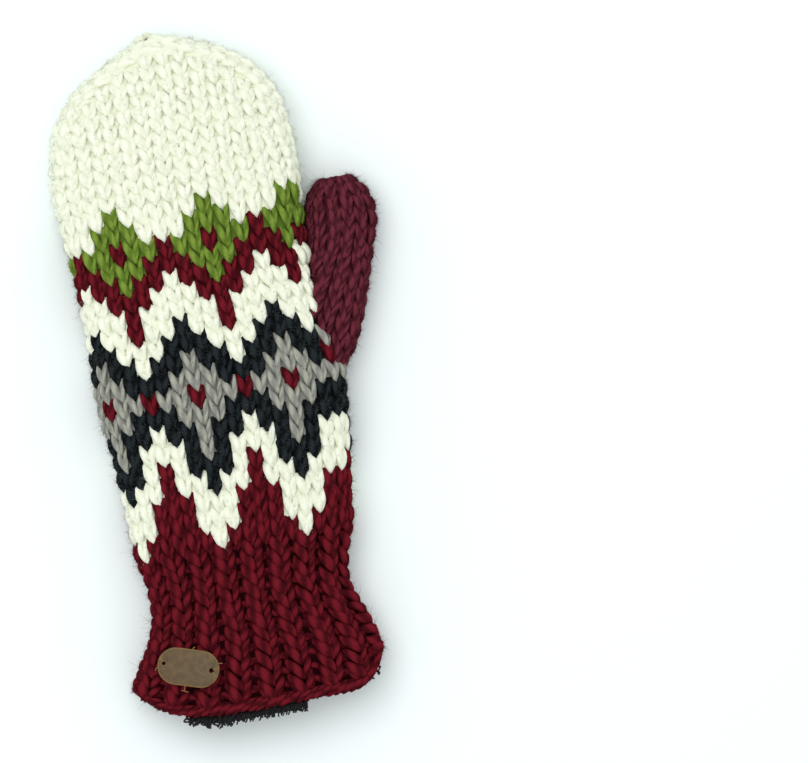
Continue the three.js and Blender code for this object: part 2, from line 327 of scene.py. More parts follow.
# The wools: colour, its darker shade (painted shade in the plies' grooves, and the fibres' own darker
# streaks) and, where it is not WOOL_RELIEF, the relief in metres
WOOL_COLOURS = {
    "cream": (0xEFF1DF, 0xE6E9D3, 0.0003),
    "red": (0x6D1A24, 0x430F16),
    "purple": (0x6C2D38, 0x451A24),
    "black": (0x262B2E, 0x0F1213),
    "grey": (0xA6A699, 0x868680, 0.0004),
    "green": (0x78903A, 0x5A7228, 0.0004),
    # painted shade: a darker red that stands for the shade deep in the cuff's recesses between the ribs
    "painted_shade_red": (0x3C0D14, 0x22070B),
}
# Single fibres are paler than the yarn, because light passes through them
FIBRE_COLOURS = {
    "cream": (0xFCFCF2, 0xF0F0DC),
    "red": (0xB0545E, 0x84303A),
    "purple": (0xA45C6A, 0x7C3E4C),
    "black": (0x8C9294, 0x565C5E),
    "grey": (0xC8C8BE, 0xA0A098),
    "green": (0x94B04C, 0x70902E),
}
WOOL_ROUGHNESS, WOOL_RELIEF = 0.95, 0.0006
# Their pattern, on the yarn's coordinates: fibres along it, and plies that twist round it
FIBRE_SCALE, FIBRE_DETAIL, FIBRE_ROUGHNESS = (0.45, 10.0, 1.0), 4.0, 0.65
PLY_SCALE, PLY_DISTORTION = (0.09, 0.9549, 1.0), 0.5
PATTERN_RANGE = (0.5, 1.3)

# The spots and the grain of fleece, leather and thread
SPOT_DETAIL, SPOT_ROUGHNESS, SPOT_RANGE = 6.0, 0.6, (0.35, 0.65)
GRAINS_IN_SPOT, GRAIN_STRENGTH = 6, 0.8

# Stray fibres: how many of each colour, and their size and curl
FUZZ = {"cream": 6500, "red": 11000, "purple": 7000, "black": 5000, "grey": 1200, "green": 1500}
FUZZ_STEPS = 3
FUZZ_SIDES = 3
FUZZ_RADIUS = 0.05
FUZZ_TAPER = 0.6
FUZZ_LENGTH = 1.0
FUZZ_SPREAD = (3.5, 0.29)
FUZZ_LONG_SHARE, FUZZ_LONG = 0.1, 1.4
FUZZ_LOWEST, FUZZ_OUTLINE, FUZZ_AT_OUTLINE = -0.45, 0.5, 1.5
FUZZ_TURN = 1.5
FUZZ_ROOT = 0.8
FUZZ_AWAY, FUZZ_ALONG, FUZZ_ASIDE, FUZZ_CURL = (0.25, 1.0), 0.8, 0.7, 0.45
FUZZ_FLOOR = 0.1
FUZZ_SKEW = 0.1

# A tube unrolled on its picture: its side (left, low, width, height), and its caps' size and middles
YARN_OFFSET = 50
ATLAS_SIDE = (0.04, 0.05, 0.80, 0.90)
ATLAS_CAP = (0.04, 0.18)
ATLAS_LOW_CAP, ATLAS_HIGH_CAP = (0.93, 0.27), (0.93, 0.73)

# The camera's picture and the light
PHOTO_WIDTH = 0.3151
PHOTO_CENTRE = (70.3, -45.1, 0)
PHOTO_UP = (0.1788, 0.98388, 0)
SILHOUETTE_HEIGHT = 0.014
CAMERA_HEIGHT = 5.0
SENSOR_WIDTH = 36
CLIP = (0.1, 10)
TABLE_SIZE = 4
SKY_COLOUR = (0.97, 1.0, 1.0, 1.0)
SKY_STRENGTH = 0.9
SOFTBOX_SIZE = 0.9
SOFTBOX_POWER = 5
SOFTBOX_PLACE = (-0.2, 0.3, 1.15)


def rounded(v):
    return np.sign(v) * np.abs(v) ** (2 / CORNER_POWER)


def unit(v):
    return v / np.maximum(np.linalg.norm(v, axis=-1, keepdims=True), 1e-9)


def running(steps):
    """The length run at each point, from the lengths of the steps between points."""
    return np.concatenate([[0], np.cumsum(steps)])


def spaced(points, lengths, at):
    """Points at some of the lengths along a line."""
    return np.stack([np.interp(at, lengths, column) for column in points.T], axis=1)


def smooth_through(table, at):
    """Each column of a table after the first, at positions of the first, on a smooth curve."""
    table = np.array(table, float)
    x, values = table[:, 0], table[:, 1:]
    number = np.arange(len(x))
    before = np.maximum(number - 1, 0)
    after = np.minimum(number + 1, len(x) - 1)
    slope = (values[after] - values[before]) / (x[after] - x[before])[:, None]
    at = np.atleast_1d(np.asarray(at, float))
    i = np.clip(np.searchsorted(x, at, side="left") - 1, 0, len(x) - 2)
    step = (x[i + 1] - x[i])[:, None]
    t = np.clip((at - x[i])[:, None] / step, 0, 1)
    rise = t * t * (3 - 2 * t)
    pull = t * (1 - t) * (1 - t) * step * slope[i] + t * t * (t - 1) * step * slope[i + 1]
    return values[i] * (1 - rise) + values[i + 1] * rise + pull


def bow_at(x, y):
    """How far the mouth's end of the tube lies back at x: not in the middle, and most at the sides."""
    left, right = smooth_through(BODY, y)[0, :2]
    across = 2 * (x - (left + right) / 2) / (right - left)
    power = np.where(across > 0, BOW_POWER_RIGHT, BOW_POWER_LEFT)
    growth = np.clip((BOW_START_Y - y) / (BOW_START_Y - MOUTH_Y), 0, BOW_LIMIT) ** BOW_GROWTH
    return BOW * growth * np.minimum(np.abs(across), 1) ** power


def halves(top, lift):
    """The height of a section's sides, and how far it reaches above and below them."""
    side = lift + SIDE_SHARE * (top - lift)
    pressed = PRESSED * np.minimum(1, (top - lift) / PRESSED_FULL_HEIGHT)
    return side, top - side, side - lift + pressed


def outline_at(row, y):
    """The closed outline of a section: points (SECTION_POINTS + 1, 3), from the top middle towards +X."""
    left, right, top, lift = row
    angle = np.linspace(0, 2 * math.pi, SECTION_POINTS + 1)
    across, up = rounded(np.sin(angle)), rounded(np.cos(angle))
    side, above, below = halves(top, lift)
    z = np.maximum(side + np.where(up > 0, above, below) * up, lift)
    x = (left + right) / 2 + (right - left) / 2 * across
    return np.stack([x, y + bow_at(x, y), z], axis=1)


def ring_at(rows, y, shares):
    """Points at equal shares of the way round a section, and its girth."""
    points = outline_at(smooth_through(rows, y)[0], y)
    lengths = running(np.hypot(*np.diff(points[:, [0, 2]], axis=0).T))
    at = np.linspace(0, lengths[-1], shares, endpoint=False)
    return spaced(points, lengths, at), lengths[-1]


class Skin:
    """A surface with two coordinates: v, in mm along the knitting, and q, across it."""

    def __init__(self, grid, v_start, steps, closed, flip=1):
        self.grid, self.closed = grid, closed
        self.v_start, (self.v_step, self.q_step) = v_start, steps
        along = np.gradient(grid, axis=0)
        around = np.gradient(grid, axis=1)
        if closed:
            around = np.roll(grid, -1, axis=1) - np.roll(grid, 1, axis=1)
        self.normals = unit(np.cross(around, along)) * flip

    def blend(self, values, v, q):
        i = np.clip((v - self.v_start) / self.v_step, 0, len(values) - 1.001)
        j = q / self.q_step
        i0, j0 = np.floor(i).astype(int), np.floor(j).astype(int)
        s, t = (i - i0)[..., None], (j - j0)[..., None]
        if self.closed:
            j0, j1 = j0 % values.shape[1], (j0 + 1) % values.shape[1]
        else:
            j0 = np.clip(j0, 0, values.shape[1] - 2)
            j1 = j0 + 1
        low = values[i0, j0] * (1 - t) + values[i0, j1] * t
        high = values[i0 + 1, j0] * (1 - t) + values[i0 + 1, j1] * t
        return low * (1 - s) + high * s

    def at(self, v, q):
        """Points of the surface and the ways out there."""
        v, q = np.broadcast_arrays(np.asarray(v, float), np.asarray(q, float))
        return self.blend(self.grid, v, q), unit(self.blend(self.normals, v, q))


def tube_skin(rows, low, high):
    """A tube's skin: v is measured on its side, so that stitches keep their size at a closing tip."""
    y = np.arange(low, high + FINE_STEP / 10, FINE_STEP)
    left, right = smooth_through(rows, y)[:, :2].T
    narrowing = np.diff(np.minimum(right - left, CLOSING_WIDTH)) / 2
    lengths = running(np.hypot(FINE_STEP, narrowing))
    heights = np.interp(np.arange(0, lengths[-1], SKIN_STEP), lengths, y)
    rings = [ring_at(rows, height, RING_SHARES)[0] for height in heights]
    return Skin(np.array(rings), low, (SKIN_STEP, 1 / RING_SHARES), True)


def column_share(k):
    """How far round the hand a column's middle lies."""
    return (np.asarray(k) + COLUMN_PHASE) / STITCHES


FACE_Y = np.arange(MOUTH_Y, TIP_Y + FACE_STEP, FACE_STEP)
FACE_ROWS = smooth_through(BODY, FACE_Y)


def face_height(face, x, y):
    """The height of the upper (1) or lower (-1) face of the hand and cuff over a place in plan."""
    left, right, top, lift = (np.interp(y, FACE_Y, column) for column in FACE_ROWS.T)
    across = np.clip(np.abs(x - (left + right) / 2) / ((right - left) / 2), 0, 1)
    side, above, below = halves(top, lift)
    share = (1 - across**CORNER_POWER) ** (1 / CORNER_POWER)
    if face > 0:
        return side + above * share
    return np.maximum(side - below * share, lift)


BODY_SKIN = tube_skin(BODY, MOUTH_Y - SKIN_PAST_MOUTH, TIP_Y)
THUMB_SKIN = tube_skin(THUMB, THUMB[0][0], THUMB[-1][0])


def silhouette(side):
    """Plan outline of the finger end on one side, from BAND_START_Y to just past the peak."""
    y = np.arange(BAND_START_Y, SHOULDER_Y, FINE_STEP)
    rows = smooth_through(BODY, y)
    x = rows[:, 1] if side > 0 else rows[:, 0]
    past = np.array(PEAK) + (-side * PAST_PEAK, -PAST_PEAK_DROP * PAST_PEAK)
    points = np.vstack([np.stack([x, y], axis=1), [PEAK], [past]])
    lengths = running(np.hypot(*np.diff(points, axis=0).T))
    smoothed = spaced(points, lengths, np.arange(0, lengths[-1], SKIN_STEP))
    for _ in range(OUTLINE_SMOOTHINGS):
        smoothed[1:-1] = (smoothed[:-2] + smoothed[1:-1] * 2 + smoothed[2:]) / 4
    return smoothed


def band_skin(side, face):
    """The two columns that follow the outline of the finger end: v runs along it, q in mm in from it."""
    line = silhouette(side)
    tangent = unit(np.gradient(line, axis=0))
    inward = np.stack([-tangent[:, 1], tangent[:, 0]], axis=1) * side
    plan = np.arange(0, BAND_PLAN, BAND_PLAN_STEP)
    q = np.arange(0, BAND_REACH, SKIN_STEP)
    rows = []
    for point, direction in zip(line, inward):
        where = point + direction * plan[:, None]
        path = np.column_stack([where, face_height(face, where[:, 0], where[:, 1])])
        lengths = running(np.linalg.norm(np.diff(path, axis=0), axis=1))
        rows.append(spaced(path, lengths, q))
    skin = Skin(np.array(rows), 0, (SKIN_STEP, SKIN_STEP), False, flip=-side * face)
    skin.normals[-BAND_END:] = skin.normals[-BAND_END]
    return skin


def end_skin(face):
    """The straight columns of the finger end: q is the share that the column has at BAND_START_Y."""
    ring, _ = ring_at(BODY, BAND_START_Y, RING_SHARES)
    heights = np.arange(BAND_START_Y - END_MARGIN, TIP_Y, SKIN_STEP)
    x = ring[:, 0]
    rows = []
    for height in heights:
        y = np.full(RING_SHARES, height)
        rows.append(np.stack([x, y, face_height(face, x, y)], axis=1))
    return Skin(np.array(rows), heights[0], (SKIN_STEP, 1 / RING_SHARES), True)


def to_frame(points):
    """Points of the drawing, in mm, in the part's frame, in metres."""
    return (points + SHIFT) / 1000


hand_low, hand_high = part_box("hand")
SHIFT = np.array([hand_low.x * 1000 - WIDEST_LEFT, hand_high.y * 1000 - TIP_Y, 0])


def add_object(name, data):
    obj = bpy.data.objects.new(name, data)
    bpy.context.scene.collection.objects.link(obj)
    return obj


# Meshes of yarn
def new_mesh(name, points, *faces, uvs=None):
    """A mesh object from points in mm and arrays of faces, each row the corners of one."""
    corners = np.concatenate([rows.ravel() for rows in faces])
    counts = np.concatenate([np.full(len(rows), rows.shape[1]) for rows in faces])
    mesh = bpy.data.meshes.new(name)
    mesh.vertices.add(len(points))
    mesh.vertices.foreach_set("co", to_frame(points).astype(np.float32).ravel())
    mesh.loops.add(len(corners))
    mesh.loops.foreach_set("vertex_index", corners.astype(np.int32))
    mesh.polygons.add(len(counts))
    starts = np.concatenate([[0], np.cumsum(counts)[:-1]])
    mesh.polygons.foreach_set("loop_start", starts.astype(np.int32))
    mesh.polygons.foreach_set("loop_total", counts.astype(np.int32))
    mesh.polygons.foreach_set("use_smooth", np.ones(len(counts), bool))
    for layer, values in (uvs or {}).items():
        made = mesh.uv_layers.new(name=layer)
        made.data.foreach_set("uv", values.astype(np.float32).ravel())
    mesh.update()
    mesh.validate()
    return add_object(name, mesh)


def side_places(steps, sides):
    """Ring and side number of the four corners of a tube's faces."""
    j, s = np.meshgrid(np.arange(steps - 1), np.arange(sides), indexing="ij")
    return (j, s), (j + 1, s), (j + 1, s + 1), (j, s + 1)


def atlas(count, steps, sides, aspect):
    """A place for every tube on one square picture: its side unrolled and its two caps next to it."""
    across = max(1, math.ceil(math.sqrt(count / aspect)))
    down = math.ceil(count / across)
    number = np.arange(count)
    place = np.stack([number % across / across, number // across / down], axis=1)[:, None]
    size = np.array([1 / across, 1 / down])
    left, low, width, height = ATLAS_SIDE
    corners = []
    for ring, side in side_places(steps, sides):
        u = left + width * ring / (steps - 1)
        corners.append(np.stack([u, low + height * side / sides], axis=-1))
    wall = np.stack(corners, axis=2).reshape(1, -1, 2)
    turn = 2 * math.pi * np.arange(sides) / sides
    circle = np.stack([np.cos(turn) * ATLAS_CAP[0], np.sin(turn) * ATLAS_CAP[1]], axis=1)
    caps = (circle + ATLAS_LOW_CAP, circle[::-1] + ATLAS_HIGH_CAP)
    wall_uv = (place + wall * size).reshape(-1, 2)
    cap_uv = [(place + cap[None] * size).reshape(-1, 2) for cap in caps]
    return np.concatenate([wall_uv, *cap_uv])


def tubes(name, centre, radius, out, flatness=1.0, sides=LEG_SIDES):
    """Closed tubes as one mesh: centre (n, steps, 3), radius (n, steps) and the way out (n, steps, 3)."""
    count, steps = radius.shape
    tangent = unit(np.gradient(centre, axis=1))
    side = unit(np.cross(tangent, out))
    up = np.cross(side, tangent)
    turn = 2 * math.pi * np.arange(sides) / sides
    across = np.cos(turn)[:, None] * side[:, :, None]
    ring = across + np.sin(turn)[:, None] * up[:, :, None] * flatness
    points = centre[:, :, None] + radius[:, :, None, None] * ring

    first = (np.arange(count)[:, None] * steps) * sides + np.arange(sides)
    quads = [first[:, :1, None] + j * sides + s % sides for j, s in side_places(steps, sides)]
    quads = np.stack(quads, axis=-1).reshape(-1, 4)
    last = first + (steps - 1) * sides
    caps = np.concatenate([first, last[:, ::-1]])

    stretch = np.linalg.norm(np.diff(centre, axis=1), axis=2)
    length = np.concatenate([np.zeros((count, 1)), np.cumsum(stretch, axis=1)], axis=1)
    offset = random.random(count) * YARN_OFFSET
    aspect = max(1, np.mean(length[:, -1]) / (2 * math.pi * np.mean(radius)))
    uvs = {"OFBake": atlas(count, steps, sides, aspect), "yarn": yarn_uvs(length, offset, sides)}
    return new_mesh(name, points.reshape(-1, 3), quads, caps, uvs=uvs)


def yarn_uvs(length, offset, sides):
    """The yarn's own coordinates, in tubes' order of corners: mm along it, from offset, and round it."""
    corners = []
    for ring, side in side_places(length.shape[1], sides):
        u = length[:, ring] + offset[:, None, None]
        corners.append(np.stack([u, np.broadcast_to(side / sides, u.shape)], axis=-1))
    wall = np.stack(corners, axis=-2).reshape(-1, 2)
    around = np.arange(sides) / sides
    caps = []
    for ring, share in ((0, around), (-1, around[::-1])):
        u, v = np.broadcast_arrays((length[:, ring] + offset)[:, None], share)
        caps.append(np.stack([u, v], axis=-1).reshape(-1, 2))
    return np.concatenate([wall, *caps])


def leg_samples(table, steps):
    """The leg's table at even steps along it."""
    table = np.array(table, float)
    spaced = np.column_stack([np.linspace(0, 1, len(table)), table])
    return smooth_through(spaced, np.linspace(0, 1, steps))


def wobble(v, q):
    """Soft unevenness of hand knitting: a shift along, in mm, and across, in columns."""
    along = sum(np.sin(2 * math.pi * n * q + m * v + phase) for n, m, phase in WAVES)
    across = sum(np.cos(2 * math.pi * n * q - m * v + 2 * phase) for n, m, phase in WAVES)
    return ROW_WOBBLE * along, COLUMN_WOBBLE * across


def side_lift(v, q):
    """The share of the lift that stitches beside the thumb get."""
    column = q * STITCHES - COLUMN_PHASE
    return np.interp(v, LIFT_HEIGHTS, (0, 1, 0)) * np.interp(column, LIFT_COLUMNS, (0, 1, 1, 0))


# The yarn of each piece: lines, thicknesses and ways out, gathered until they are made
YARNS = {}


def lay(name, points, width, out):
    """Adds lines of yarn to a piece, pushed up where they would go into the table."""
    points = points.copy()
    points[..., 2] = np.maximum(points[..., 2], width + TABLE_GAP)
    YARNS.setdefault(name, []).append((points, width, out))


def gathered(names):
    parts = [part for name in names for part in YARNS[name]]
    return (np.concatenate([part[i] for part in parts]) for i in range(3))


def knit(name, skin, v, q, row, column_width,
         radius=LEG_RADIUS, sink=0.0, spread=1.0, tilt=None, behind=0.0):
    """Adds both legs of stitches: v and q are the foot of each, row and column_width the sizes of one.

    The right leg lies further in by behind.
    """
    v, q = np.asarray(v, float), np.asarray(q, float)
    count = len(v)
    for leg, deeper in ((LEFT_LEG, 0.0), (RIGHT_LEG, behind)):
        across, up, out_by, thickness = leg_samples(leg, LEG_STEPS).T[:, None]
        jitter = random.normal(0, 1, (count, 5))
        turn = JITTER_TURN * jitter[:, 4:5] * (up - 0.5)
        a = across * spread + JITTER_ACROSS * jitter[:, :1] + turn
        b = up + JITTER_ALONG * jitter[:, 1:2]
        at_v = v[:, None] + b * np.broadcast_to(row, (count,))[:, None]
        at_q = q[:, None] + a * np.broadcast_to(column_width, (count,))[:, None]
        if tilt is not None:
            at_v = at_v + tilt(at_q)
        if skin.closed:
            shift_v, shift_q = wobble(v, q)
            if skin is BODY_SKIN:
                share = side_lift(v, q)
                shift_v, shift_q = shift_v + SIDE_LIFT * share, shift_q + SIDE_SHIFT * share
            at_v = at_v + shift_v[:, None]
            at_q = at_q + (shift_q * column_width)[:, None]
        point, out = skin.at(at_v, at_q)
        thick = radius * thickness * (1 + JITTER_THICK * jitter[:, 2:3])
        depth = out_by - sink - deeper - radius + JITTER_DEPTH * jitter[:, 3:4]
        depth = np.maximum(depth, -LEG_DEEPEST)
        lay(name, point + out * depth[..., None], thick, out)


def inside(rows, points, share):
    """True where points are inside a lofted tube, shrunk to a share of its section."""
    left, right, top, lift = smooth_through(rows, points[:, 1]).T
    middle, half = (left + right) / 2, (right - left) / 2 * share
    side = lift + SIDE_SHARE * (top - lift)
    reach = np.where(points[:, 2] > side, top - side, side - lift + PRESSED) * share
    across = np.abs((points[:, 0] - middle) / half)
    up = np.abs((points[:, 2] - side) / reach)
    within = (points[:, 1] > rows[0][0]) & (points[:, 1] < rows[-1][0])
    return (across**CORNER_POWER + up**CORNER_POWER < 1) & within


def chart_height(row):
    """The height of the foot of a row of the chart."""
    rows, heights = np.array(CHART_HEIGHTS, float).T
    return np.interp(row, rows, heights)


def letter_at(row, k):
    """The chart's colour of a stitch of the hand."""
    if row >= len(CHART):
        return "w"
    side = SIDE_COLUMNS.get(k % STITCHES)
    return side[row] if side else CHART[row][k % len(CHART[row])]


def knit_pattern():
    """The charted part of the hand, without the stitches that the thumb covers."""
    for r in range(len(CHART)):
        foot, height = chart_height(r), chart_height(r + 1) - chart_height(r)
        for k in range(STITCHES):
            q = column_share(k)
            crest, _ = BODY_SKIN.at([foot + height / 2], [q])
            if inside(THUMB, crest - [0, 0, CREST_DROP], HIDDEN_IN_THUMB)[0]:
                continue
            letter = letter_at(r, k)
            name = "knit_cream_pattern" if letter == "w" else "knit_" + COLOURS[letter]
            knit(name, BODY_SKIN, [foot], [q], height, 1 / STITCHES, radius=THICKNESS[letter])


def knit_finger_end():
    """The plain end: straight columns that stop at the bands which follow the outline."""
    foot = chart_height(len(CHART))
    rows = int((TIP_Y - foot) / PLAIN_ROW) + 1
    ends = {face: end_skin(face) for face in (1, -1)}
    line = np.vstack([silhouette(1), silhouette(-1)])
    pitch = ring_at(BODY, BAND_START_Y, RING_SHARES)[1] / STITCHES
    for r in range(rows):
        v = foot + r * PLAIN_ROW
        for k in range(STITCHES):
            q = column_share(k)
            if v < BAND_START_Y - PLAIN_ROW / 2:
                knit("knit_cream_plain", BODY_SKIN, [v], [q], PLAIN_ROW, 1 / STITCHES)
                continue
            if k in BAND_COLUMNS:
                continue
            face = -1 if BAND_COLUMNS[3] < k < BAND_COLUMNS[4] else 1
            point, _ = ends[face].at([v + PLAIN_ROW / 2], [q])
            x, y = point[0, :2]
            left, right = smooth_through(BODY, y)[0, :2]
            room = np.min(np.hypot(*(line - point[0, :2]).T))
            if left < x < right and room > BAND_ROOM * pitch:
                knit("knit_cream_plain", ends[face], [v], [q], PLAIN_ROW, 1 / STITCHES)
    rows_below = math.ceil((BAND_START_Y - PLAIN_ROW / 2 - foot) / PLAIN_ROW)
    v = foot + rows_below * PLAIN_ROW - BAND_START_Y
    for side, face in ((1, 1), (1, -1), (-1, 1), (-1, -1)):
        skin = band_skin(side, face)
        length = (len(skin.grid) - 1) * skin.v_step - PAST_PEAK
        count = int(length / BAND_ROW)
        row = (length - v) / (count + LEG_OVERLAP)
        feet = v + np.arange(count) * row
        for i in range(2):
            q = (0.5 + i) * pitch * BAND_PITCH
            knit("knit_cream_plain", skin, feet, np.full(count, q), row, -side * face * pitch,
                 radius=BAND_RADIUS)


def knit_cuff():
    """Ribs: columns of knit stitches that stand out, with a purl column deep between them."""
    rows = round((WRIST_Y - EDGE_Y) / RIB_ROW)
    height = (WRIST_Y - EDGE_Y) / rows
    knit_share = column_share(np.arange(1, STITCHES, 2))
    purl_share = column_share(np.arange(0, STITCHES, 2))
    ribs = len(knit_share)
    first = np.full(ribs, EDGE_Y - FIRST_RIB_DROP)
    knit("cuff_ribs", BODY_SKIN, first, knit_share, FIRST_RIB_HEIGHT * height, 1 / STITCHES,
         radius=FIRST_RIB_RADIUS, spread=FIRST_RIB_SPREAD, behind=RIB_BEHIND, sink=FIRST_RIB_DROP)
    at = np.linspace(-PURL_HALF_WIDTH, PURL_HALF_WIDTH, LEG_STEPS)
    arch = 0.5 + PURL_ARCH * np.cos(at * 4)
    depth = -PURL_DEPTH - PURL_END_DEPTH * np.abs(at / PURL_HALF_WIDTH) ** 2
    for r in range(rows):
        foot = EDGE_Y + (r + RIB_START) * height
        knit("cuff_ribs", BODY_SKIN, np.full(ribs, foot), knit_share, height, 1 / STITCHES,
             radius=RIB_RADIUS, spread=RIB_SPREAD, behind=RIB_BEHIND)
        q = purl_share[:, None] + at[None, :] / STITCHES
        v = foot + height * arch[None, :] + random.normal(0, PURL_JITTER, (ribs, 1))
        point, out = BODY_SKIN.at(v, q)
        width = np.full((ribs, LEG_STEPS), PURL_RADIUS)
        lay("cuff_ribs", point + out * depth[None, :, None], width, out)


def thumb_radius(v):
    """Yarn gets thinner where the thumb's tip closes."""
    _, girth = ring_at(THUMB, min(v, THUMB[-1][0]), 8)
    return THUMB_RADIUS * min(1, girth / THUMB_FULL_GIRTH) ** THUMB_THINNING


def knit_thumb():
    """Rows around the thumb, which lean towards its tip on one side, without the stitches in the hand."""
    length = (len(THUMB_SKIN.grid) - 1) * THUMB_SKIN.v_step
    rows = int(length / THUMB_ROW)
    columns = (np.arange(THUMB_STITCHES) + 0.5) / THUMB_STITCHES
    for r in range(rows):
        foot = THUMB_SKIN.v_start + THUMB_START + r * THUMB_ROW
        left = max(0, (rows - 1 - r) * THUMB_ROW)
        slant = THUMB_SLANT * min(1, left / THUMB_SLANT_FADE)

        def tilt(q):
            return -slant * np.sin(2 * math.pi * q)

        v = np.full(THUMB_STITCHES, foot)
        crest, _ = THUMB_SKIN.at(v + THUMB_ROW / 2, columns)
        keep = ~inside(BODY, crest, HIDDEN_IN_HAND)
        if keep.any():
            knit("knit_thumb", THUMB_SKIN, v[keep], columns[keep], THUMB_ROW * THUMB_STRETCH,
                 1 / THUMB_STITCHES, radius=thumb_radius(crest[0, 1]), spread=THUMB_SPREAD, tilt=tilt)


def knit_edge():
    """The cast-on edge: short strands laid aslant over one another, like a rope."""
    middle = (EDGE_Y + MOUTH_Y) / 2 + EDGE_SHIFT
    along = 2 * np.linspace(0, 1, LEG_STEPS) - 1
    end = np.abs(along)
    shift = random.normal(0, EDGE_JITTER_AROUND, (EDGE_STRANDS, 1))
    q = (np.arange(EDGE_STRANDS)[:, None] + EDGE_REACH * along[None, :] + shift) / EDGE_STRANDS
    v = middle + EDGE_RISE * along[None, :] + random.normal(0, EDGE_JITTER_ALONG, (EDGE_STRANDS, 1))
    point, out = BODY_SKIN.at(v, q)
    depth = -EDGE_RADIUS - EDGE_DEPTH - EDGE_END_DEPTH * end**EDGE_END_POWER
    uneven = 1 + random.normal(0, EDGE_JITTER_THICK, (EDGE_STRANDS, 1))
    width = EDGE_RADIUS * (1 - EDGE_TAPER * end**2) * uneven
    lay("edge_chain", point + out * depth[None, :, None], width, out)


def fuzz(name, line, width, out, count):
    """Stray fibres that stand off the yarn: each starts on a leg's outer side and curls away."""
    facing = out[:, LEG_STEPS // 2, 2]
    share = np.where(facing > FUZZ_LOWEST, 1 + FUZZ_AT_OUTLINE * (facing < FUZZ_OUTLINE), 0)
    leg = random.choice(len(line), count, p=share / share.sum())
    at = random.integers(1, LEG_STEPS - 3, count)
    start, thick, up = line[leg, at], width[leg, at], out[leg, at]
    along = unit(line[leg, at + 1] - line[leg, at - 1])
    side = unit(np.cross(along, up))
    turn = random.uniform(-FUZZ_TURN, FUZZ_TURN, count)[:, None]
    away = up * np.cos(turn) + side * np.sin(turn)
    start = start + away * thick[:, None] * FUZZ_ROOT
    longer = np.where(random.random(count) < FUZZ_LONG_SHARE, FUZZ_LONG, 1)
    length = (FUZZ_LENGTH * random.gamma(*FUZZ_SPREAD, count) * longer)[:, None]
    heading = away * random.uniform(*FUZZ_AWAY, (count, 1))
    heading = heading + along * random.normal(0, FUZZ_ALONG, (count, 1))
    heading = unit(heading + side * random.normal(0, FUZZ_ASIDE, (count, 1)))
    curl = random.normal(0, FUZZ_CURL, (count, 3))
    t = np.linspace(0, 1, FUZZ_STEPS)[None, :, None]
    path = start[:, None] + length[:, None] * (heading[:, None] * t + curl[:, None] * t**2)
    path[..., 2] = np.maximum(path[..., 2], FUZZ_FLOOR)
    radius = FUZZ_RADIUS * (1 - FUZZ_TAPER * t[..., 0]) * np.ones((count, 1))
    across = np.broadcast_to(unit(np.cross(heading, away + FUZZ_SKEW))[:, None], path.shape)
    return tubes(name, path, radius, across, sides=FUZZ_SIDES)


def wall_quads(rings, columns, closed):
    """The faces between rings of points, and from the last ring to the first if closed."""
    i = np.arange(rings if closed else rings - 1)[:, None]
    s = np.arange(columns)[None, :]
    corners = []
    for ring_number, number in ((i, s), (i, s + 1), (i + 1, s + 1), (i + 1, s)):
        corners.append(ring_number % rings * columns + number % columns)
    return np.stack(np.broadcast_arrays(*corners), axis=-1).reshape(-1, 4)


def shell(name, skin, v_from, v_to, depth, thickness, columns, step, cap=None):
    """The knitting's body behind the yarn: a tube wall between two depths.

    Its far end is drawn in to a dome that is cap high, or left open. Returns the mesh and each ring's v.
    """
    rings_along = max(2, int((v_to - np.min(v_from)) / step))
    v = np.linspace(np.broadcast_to(v_from, columns), v_to, rings_along)
    q = np.arange(columns) / columns
    point, out = skin.at(v, q[None, :])
    layers = []
    for inset in (depth, depth + thickness):
        layer = list(point - out * inset)
        if cap is not None:
            middle = layer[-1].mean(axis=0)
            height = np.array([0, cap - (inset - depth), 0])
            spread = layer[-1] - middle
            layer += [middle + height * rise + spread * wide for wide, rise in DOME]
        layers.append(layer)
    points = np.array(layers[0] + layers[1][::-1])
    heights = np.concatenate([v[:, 0], np.full(len(points) // 2 - len(v), v_to)])
    obj = new_mesh(name, points.reshape(-1, 3), wall_quads(len(points), columns, True))
    return obj, np.concatenate([heights, heights[::-1]])


def core(skin, v_from, v_to, depth):
    """A solid that fills a tube up to a depth under its skin, to cut other walls with."""
    v = np.linspace(v_from, v_to, int((v_to - v_from) / CORE_STEP))
    around = np.arange(CORE_COLUMNS)
    point, out = skin.at(v[:, None], (around / CORE_COLUMNS)[None, :])
    points = (point - out * depth).reshape(-1, 3)
    ends = np.stack([around[::-1], (len(v) - 1) * CORE_COLUMNS + around])
    return new_mesh("core", points, wall_quads(len(v), CORE_COLUMNS, False), ends)


def combine(obj, other, operation):
    """Takes another solid's volume out of a piece, or adds it, and deletes the other one."""
    modifier = obj.modifiers.new("combine", "BOOLEAN")
    modifier.operation = operation
    modifier.solver = "MANIFOLD"
    modifier.object = other
    depsgraph = bpy.context.evaluated_depsgraph_get()
    result = bpy.data.meshes.new_from_object(obj.evaluated_get(depsgraph))
    obj.modifiers.remove(modifier)
    obj.data = result
    bpy.data.objects.remove(other)


def paint_by_chart(obj, heights, columns):
    """Gives each face of the hand's shell the material of the stitch in front of it."""
    feet = chart_height(np.arange(len(CHART) + 1))
    half_ring = (heights[1] - heights[0]) / 2
    chosen = []
    for height in heights:
        for c in range(columns):
            share = (c + 0.5) / columns
            foot = height + half_ring - SIDE_LIFT * side_lift(height, share)
            row = int(np.searchsorted(feet, foot, side="right")) - 1
            k = round(share * STITCHES - COLUMN_PHASE)
            chosen.append(list(COLOURS).index(letter_at(max(row, 0), k)))
    obj.data.polygons.foreach_set("material_index", np.array(chosen, np.int32))


def obround(length, width, steps):
    """Points of a strip with round ends, counterclockwise."""
    turn = 2 * math.pi * (np.arange(steps) + 0.5) / steps
    x = np.cos(turn) * width / 2 + np.sign(np.cos(turn)) * (length - width) / 2
    return np.column_stack([x, np.sin(turn) * width / 2])


